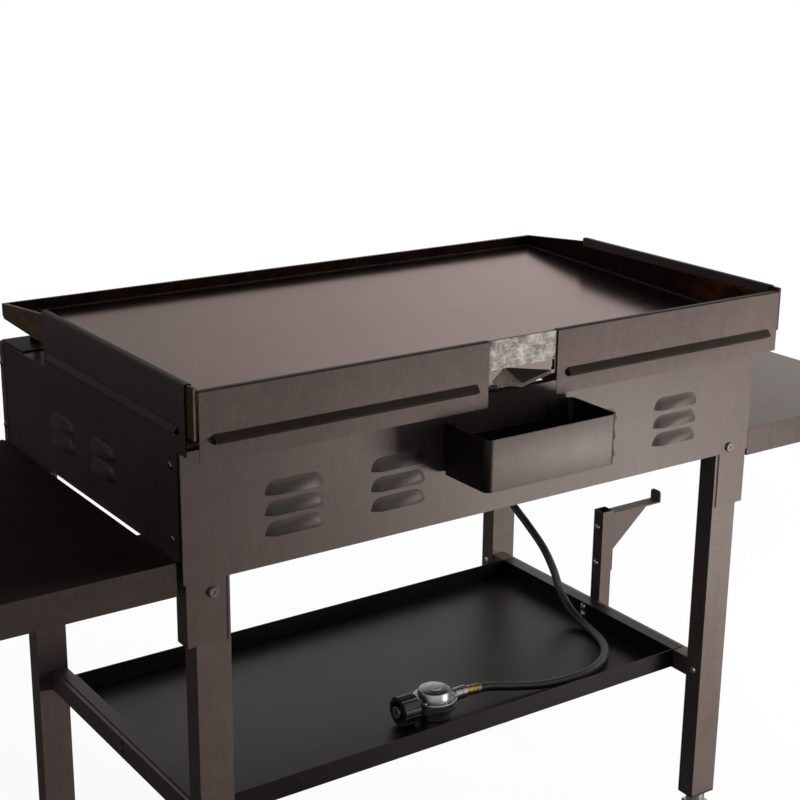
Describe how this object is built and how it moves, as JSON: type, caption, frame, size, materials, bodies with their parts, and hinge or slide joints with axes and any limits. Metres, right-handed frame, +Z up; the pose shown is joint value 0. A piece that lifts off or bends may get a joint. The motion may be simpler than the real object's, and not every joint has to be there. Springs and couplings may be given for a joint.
{
  "type": "gas griddle cart",
  "caption": "Free-standing flat top gas griddle: walled steel cooking plate with hook-on wind guards over a louvred burner cabinet, with side shelves, grease cup and wheeled legs.",
  "frame": {"origin": "on the floor, under the middle of the object's extent without the hose", "axes": "+X to the user's right along the cabinet, +Y to the back where the grease drains, +Z up"},
  "size_m": [1.632, 0.674, 0.9137],
  "materials": {
    "seasoned_steel": "rolled steel plate, seasoned and satin",
    "rusty_steel": "bare welded steel, browned by heat and rust",
    "bare_steel": "bare steel, scratched",
    "coat": "warm dark grey powder coat, satin",
    "dark_coat": "charcoal powder coat, satin",
    "black_coat": "black powder coat",
    "zinc": "zinc plated steel",
    "brass": "plain brass",
    "black_plastic": "black moulded plastic",
    "red_plastic": "dark red moulded plastic",
    "ceramic": "glazed white ceramic",
    "wheel_rubber": "solid black rubber",
    "hose_rubber": "smooth black rubber"
  },
  "bodies": {
    "base": {"front_panel": "coat", "rear_panel": "coat", "left_side_panel": "dark_coat", "right_side_panel": "dark_coat", "corner_brackets": "zinc", "burner_rails": "zinc", "burners": "bare_steel", "gas_manifold": "zinc", "gas_valves": "brass", "inlet_elbow": "brass", "knob_bezels": "bare_steel", "igniter_body": "black_plastic", "spark_electrodes": "ceramic", "cup_bracket": "dark_coat", "legs": "coat", "side_rails": "coat", "bottom_shelf": "black_coat", "left_side_shelf": "dark_coat", "right_side_shelf": "dark_coat", "shelf_brackets": "zinc", "caster_sockets": "black_plastic", "tank_post": "coat", "tank_hook": "coat", "gas_hose": "hose_rubber", "regulator": "zinc", "panel_screws": "zinc", "frame_bolts": "zinc"},
    "griddle": {"griddle_plate": "seasoned_steel", "front_lip": "rusty_steel", "rear_wall": "rusty_steel", "drain_bridge": "bare_steel", "side_walls": "rusty_steel", "drain_spout": "bare_steel", "plate_stiffeners": "rusty_steel", "levelling_feet": "zinc"},
    "left_guard": {"guard_left": "coat", "strip_left": "dark_coat"},
    "right_guard": {"guard_right": "coat", "strip_right": "dark_coat"},
    "rear_left_guard": {"guard_rear_left": "coat", "strip_rear_left": "dark_coat"},
    "rear_right_guard": {"guard_rear_right": "coat", "strip_rear_right": "dark_coat"},
    "cup": {"grease_cup": "dark_coat"},
    "button": {"igniter_button": "red_plastic"},
    "coupling_nut": {"tank_nut": "black_plastic"},
    "knob_1": {"knob_1": "black_plastic"},
    "knob_2": {"knob_2": "black_plastic"},
    "knob_3": {"knob_3": "black_plastic"},
    "knob_4": {"knob_4": "black_plastic"},
    "front_left_fork": {"fork_front_left": "zinc"},
    "front_left_wheel": {"wheel_front_left": "wheel_rubber"},
    "left_brake": {"brake_left": "red_plastic"},
    "front_right_fork": {"fork_front_right": "zinc"},
    "front_right_wheel": {"wheel_front_right": "wheel_rubber"},
    "right_brake": {"brake_right": "red_plastic"},
    "rear_left_fork": {"fork_rear_left": "zinc"},
    "rear_left_wheel": {"wheel_rear_left": "wheel_rubber"},
    "rear_right_fork": {"fork_rear_right": "zinc"},
    "rear_right_wheel": {"wheel_rear_right": "wheel_rubber"}
  },
  "joints": [
    {"name": "griddle_lift", "type": "slide", "parent": "base", "child": "griddle", "axis": [0, 0, 1], "range_m": [0, 0.15]},
    {"name": "left_guard_lift", "type": "slide", "parent": "griddle", "child": "left_guard", "axis": [0, 0, 1], "range_m": [0, 0.1]},
    {"name": "right_guard_lift", "type": "slide", "parent": "griddle", "child": "right_guard", "axis": [0, 0, 1], "range_m": [0, 0.1]},
    {"name": "rear_left_guard_lift", "type": "slide", "parent": "griddle", "child": "rear_left_guard", "axis": [0, 0, 1], "range_m": [0, 0.1]},
    {"name": "rear_right_guard_lift", "type": "slide", "parent": "griddle", "child": "rear_right_guard", "axis": [0, 0, 1], "range_m": [0, 0.1]},
    {"name": "cup_slide", "type": "slide", "parent": "base", "child": "cup", "axis": [0, 1, 0], "range_m": [0, 0.14]},
    {"name": "knob_1_turn", "type": "hinge", "parent": "base", "child": "knob_1", "pos_m": [-0.345, -0.315, 0.752], "axis": [0, -1, 0], "range_deg": [0, 180]},
    {"name": "knob_2_turn", "type": "hinge", "parent": "base", "child": "knob_2", "pos_m": [-0.115, -0.315, 0.752], "axis": [0, -1, 0], "range_deg": [0, 180]},
    {"name": "knob_3_turn", "type": "hinge", "parent": "base", "child": "knob_3", "pos_m": [0.115, -0.315, 0.752], "axis": [0, -1, 0], "range_deg": [0, 180]},
    {"name": "knob_4_turn", "type": "hinge", "parent": "base", "child": "knob_4", "pos_m": [0.345, -0.315, 0.752], "axis": [0, -1, 0], "range_deg": [0, 180]},
    {"name": "igniter_push", "type": "slide", "parent": "base", "child": "button", "axis": [0, 1, 0], "range_m": [0, 0.004], "stiffness_N_per_m": 500},
    {"name": "front_left_swivel", "type": "hinge", "parent": "base", "child": "front_left_fork", "pos_m": [-0.422, -0.2878, 0.09], "axis": [0, 0, 1], "continuous": true},
    {"name": "front_left_roll", "type": "hinge", "parent": "front_left_fork", "child": "front_left_wheel", "pos_m": [-0.422, -0.2678, 0.0375], "axis": [1, 0, 0], "continuous": true},
    {"name": "left_brake_press", "type": "hinge", "parent": "front_left_fork", "child": "left_brake", "pos_m": [-0.422, -0.2378, 0.06825], "axis": [-1, 0, 0], "range_deg": [0, 12]},
    {"name": "front_right_swivel", "type": "hinge", "parent": "base", "child": "front_right_fork", "pos_m": [0.422, -0.2878, 0.09], "axis": [0, 0, 1], "continuous": true},
    {"name": "front_right_roll", "type": "hinge", "parent": "front_right_fork", "child": "front_right_wheel", "pos_m": [0.422, -0.2678, 0.0375], "axis": [1, 0, 0], "continuous": true},
    {"name": "right_brake_press", "type": "hinge", "parent": "front_right_fork", "child": "right_brake", "pos_m": [0.422, -0.2378, 0.06825], "axis": [-1, 0, 0], "range_deg": [0, 12]},
    {"name": "rear_left_swivel", "type": "hinge", "parent": "base", "child": "rear_left_fork", "pos_m": [-0.422, 0.2268, 0.09], "axis": [0, 0, 1], "continuous": true},
    {"name": "rear_left_roll", "type": "hinge", "parent": "rear_left_fork", "child": "rear_left_wheel", "pos_m": [-0.422, 0.2468, 0.0375], "axis": [1, 0, 0], "continuous": true},
    {"name": "rear_right_swivel", "type": "hinge", "parent": "base", "child": "rear_right_fork", "pos_m": [0.422, 0.2268, 0.09], "axis": [0, 0, 1], "continuous": true},
    {"name": "rear_right_roll", "type": "hinge", "parent": "rear_right_fork", "child": "rear_right_wheel", "pos_m": [0.422, 0.2468, 0.0375], "axis": [1, 0, 0], "continuous": true},
    {"name": "nut_turn", "type": "hinge", "parent": "base", "child": "coupling_nut", "pos_m": [0.05, 0.108, 0.326], "axis": [1, 0, 0], "continuous": true}
  ]
}
